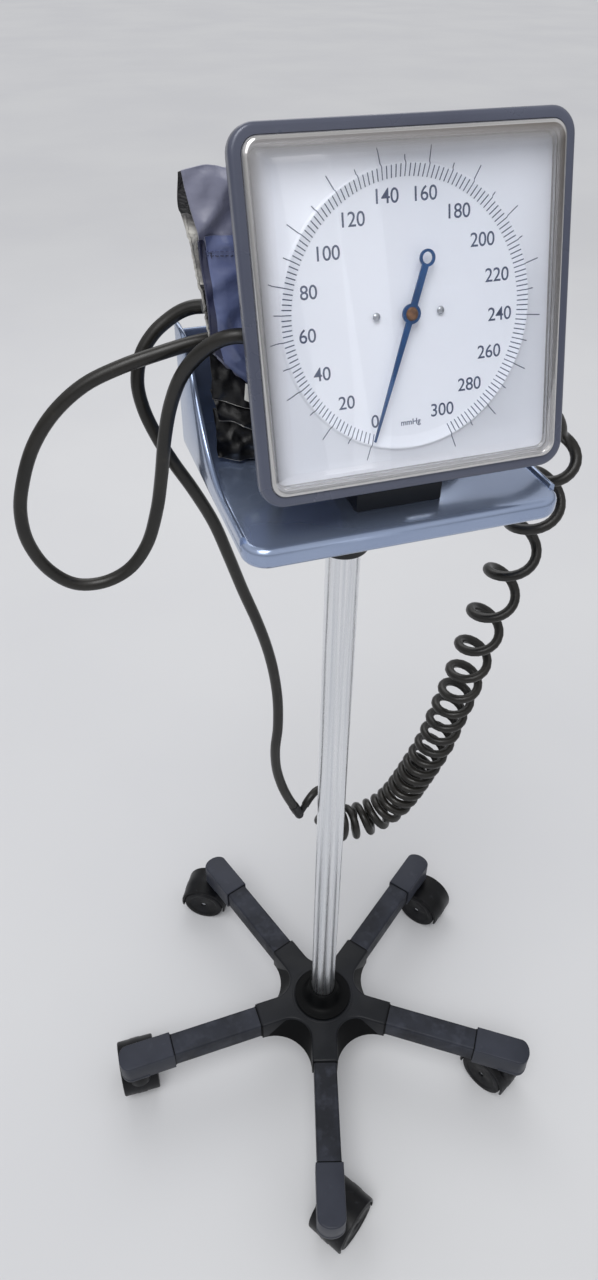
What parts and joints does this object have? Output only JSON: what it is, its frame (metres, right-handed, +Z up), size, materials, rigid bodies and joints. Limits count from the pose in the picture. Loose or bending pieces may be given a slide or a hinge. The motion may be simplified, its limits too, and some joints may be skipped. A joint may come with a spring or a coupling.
{
  "type": "sphygmomanometer",
  "caption": "Aneroid blood pressure gauge on a wheeled pole stand, tilting over a tray with a folded cuff and bulb, with a coiled hose.",
  "frame": {"origin": "on the floor, at the middle of the footprint of everything but the hoses", "axes": "+Z up, the gauge faces -Y, +X to the right seen from the front"},
  "size_m": [0.4512, 0.472, 0.9686],
  "materials": {
    "hub": "satin charcoal",
    "arm": "satin charcoal paint",
    "black_plastic": "satin black",
    "castor": "satin dark grey",
    "tyre": "dark grey tread",
    "steel": "bright",
    "pole": "polished",
    "tray": "glossy metallic grey-blue",
    "case": "slate, soft sheen",
    "cover": "slate, fine texture",
    "lens": "clear, rounded edges",
    "dial": "white with a printed scale",
    "pointer": "blue",
    "brass": "plain",
    "cuff": "navy coated cloth, black hook and loop strips",
    "rubber": "matte black"
  },
  "bodies": {
    "stand": {"base_hub": "hub", "hub_collar": "black_plastic", "arm_tube_1": "arm", "arm_tube_2": "arm", "arm_tube_3": "arm", "arm_tube_4": "arm", "arm_tube_5": "arm", "arm_cap_1": "black_plastic", "arm_cap_2": "black_plastic", "arm_cap_3": "black_plastic", "arm_cap_4": "black_plastic", "arm_cap_5": "black_plastic", "pole": "pole", "pole_bolt": "steel", "tray_socket": "black_plastic", "tray": "tray", "gauge_bracket": "black_plastic", "tilt_pin": "steel", "cuff": "cuff", "bulb": "rubber", "bulb_valve": "steel", "bulb_hose": "rubber", "cuff_hose": "rubber", "coil_hose": "rubber", "hose_connector_socket": "black_plastic", "hose_connector_plug": "black_plastic"},
    "castor_1": {"castor_hood_1": "castor", "castor_axle_1": "steel"},
    "wheel_1a": {"castor_wheel_1a": "tyre"},
    "wheel_1b": {"castor_wheel_1b": "tyre"},
    "castor_2": {"castor_hood_2": "castor", "castor_axle_2": "steel"},
    "wheel_2a": {"castor_wheel_2a": "tyre"},
    "wheel_2b": {"castor_wheel_2b": "tyre"},
    "castor_3": {"castor_hood_3": "castor", "castor_axle_3": "steel"},
    "wheel_3a": {"castor_wheel_3a": "tyre"},
    "wheel_3b": {"castor_wheel_3b": "tyre"},
    "castor_4": {"castor_hood_4": "castor", "castor_axle_4": "steel"},
    "wheel_4a": {"castor_wheel_4a": "tyre"},
    "wheel_4b": {"castor_wheel_4b": "tyre"},
    "castor_5": {"castor_hood_5": "castor", "castor_axle_5": "steel"},
    "wheel_5a": {"castor_wheel_5a": "tyre"},
    "wheel_5b": {"castor_wheel_5b": "tyre"},
    "gauge": {"gauge_housing": "case", "gauge_back": "cover", "lens": "lens", "dial_plate": "dial", "dial_screw_left": "steel", "dial_screw_right": "steel", "movement_frame": "brass", "pressure_capsule": "brass", "hairspring": "steel", "pressure_port": "black_plastic"},
    "needle": {"pointer": "pointer", "pinion_shaft": "brass"},
    "sector": {"sector_gear": "brass"},
    "valve_knob": {"valve_knob": "steel"}
  },
  "joints": [
    {"name": "castor_swivel_1", "type": "hinge", "parent": "stand", "child": "castor_1", "pos_m": [-0.05374, -0.214, 0.0581], "axis": [0, 0, 1], "continuous": true},
    {"name": "wheel_spin_1a", "type": "hinge", "parent": "castor_1", "child": "wheel_1a", "pos_m": [-0.0378, -0.20365, 0.025], "axis": [-0.5446, 0.8387, 0], "continuous": true},
    {"name": "wheel_spin_1b", "type": "hinge", "parent": "castor_1", "child": "wheel_1b", "pos_m": [-0.0378, -0.20365, 0.025], "axis": [-0.5446, 0.8387, 0], "continuous": true},
    {"name": "castor_swivel_2", "type": "hinge", "parent": "stand", "child": "castor_2", "pos_m": [0.18538, -0.13213, 0.0581], "axis": [0, 0, 1], "continuous": true},
    {"name": "wheel_spin_2a", "type": "hinge", "parent": "castor_2", "child": "wheel_2a", "pos_m": [0.17705, -0.11505, 0.025], "axis": [-0.8988, -0.4384, 0], "continuous": true},
    {"name": "wheel_spin_2b", "type": "hinge", "parent": "castor_2", "child": "wheel_2b", "pos_m": [0.17705, -0.11505, 0.025], "axis": [-0.8988, -0.4384, 0], "continuous": true},
    {"name": "castor_swivel_3", "type": "hinge", "parent": "stand", "child": "castor_3", "pos_m": [0.18141, 0.12059, 0.0581], "axis": [0, 0, 1], "continuous": true},
    {"name": "wheel_spin_3a", "type": "hinge", "parent": "castor_3", "child": "wheel_3a", "pos_m": [0.19258, 0.10521, 0.025], "axis": [0.809, 0.5878, 0], "continuous": true},
    {"name": "wheel_spin_3b", "type": "hinge", "parent": "castor_3", "child": "wheel_3b", "pos_m": [0.19258, 0.10521, 0.025], "axis": [0.809, 0.5878, 0], "continuous": true},
    {"name": "castor_swivel_4", "type": "hinge", "parent": "stand", "child": "castor_4", "pos_m": [-0.06016, 0.1949, 0.0581], "axis": [0, 0, 1], "continuous": true},
    {"name": "wheel_spin_4a", "type": "hinge", "parent": "castor_4", "child": "wheel_4a", "pos_m": [-0.07662, 0.2044, 0.025], "axis": [-0.5, -0.866, 0], "continuous": true},
    {"name": "wheel_spin_4b", "type": "hinge", "parent": "castor_4", "child": "wheel_4b", "pos_m": [-0.07662, 0.2044, 0.025], "axis": [-0.5, -0.866, 0], "continuous": true},
    {"name": "castor_swivel_5", "type": "hinge", "parent": "stand", "child": "castor_5", "pos_m": [-0.20549, -0.01188, 0.0581], "axis": [0, 0, 1], "continuous": true},
    {"name": "wheel_spin_5a", "type": "hinge", "parent": "castor_5", "child": "wheel_5a", "pos_m": [-0.20483, 0.00711, 0.025], "axis": [-0.9994, 0.0349, 0], "continuous": true},
    {"name": "wheel_spin_5b", "type": "hinge", "parent": "castor_5", "child": "wheel_5b", "pos_m": [-0.20483, 0.00711, 0.025], "axis": [-0.9994, 0.0349, 0], "continuous": true},
    {"name": "gauge_tilt", "type": "hinge", "parent": "stand", "child": "gauge", "pos_m": [0.00948, -0.05931, 0.81016], "axis": [1, 0, 0], "range_deg": [-8, 16]},
    {"name": "pointer_turn", "type": "hinge", "parent": "gauge", "child": "needle", "pos_m": [0.00948, -0.0805, 0.8826], "axis": [0, 0.9627, -0.2706], "range_deg": [0, 320]},
    {"name": "sector_swing", "type": "hinge", "parent": "gauge", "child": "sector", "pos_m": [0.00948, -0.08795, 0.85613], "axis": [0, 0.9627, -0.2706], "range_deg": [-32, 0]},
    {"name": "valve_turn", "type": "hinge", "parent": "stand", "child": "valve_knob", "pos_m": [-0.00067, -0.02531, 0.804], "axis": [0, 0, 1], "range_deg": [0, 450]}
  ],
  "couplings": [
    {"joint": "sector_swing", "follows": "pointer_turn", "ratio": -0.1}
  ]
}
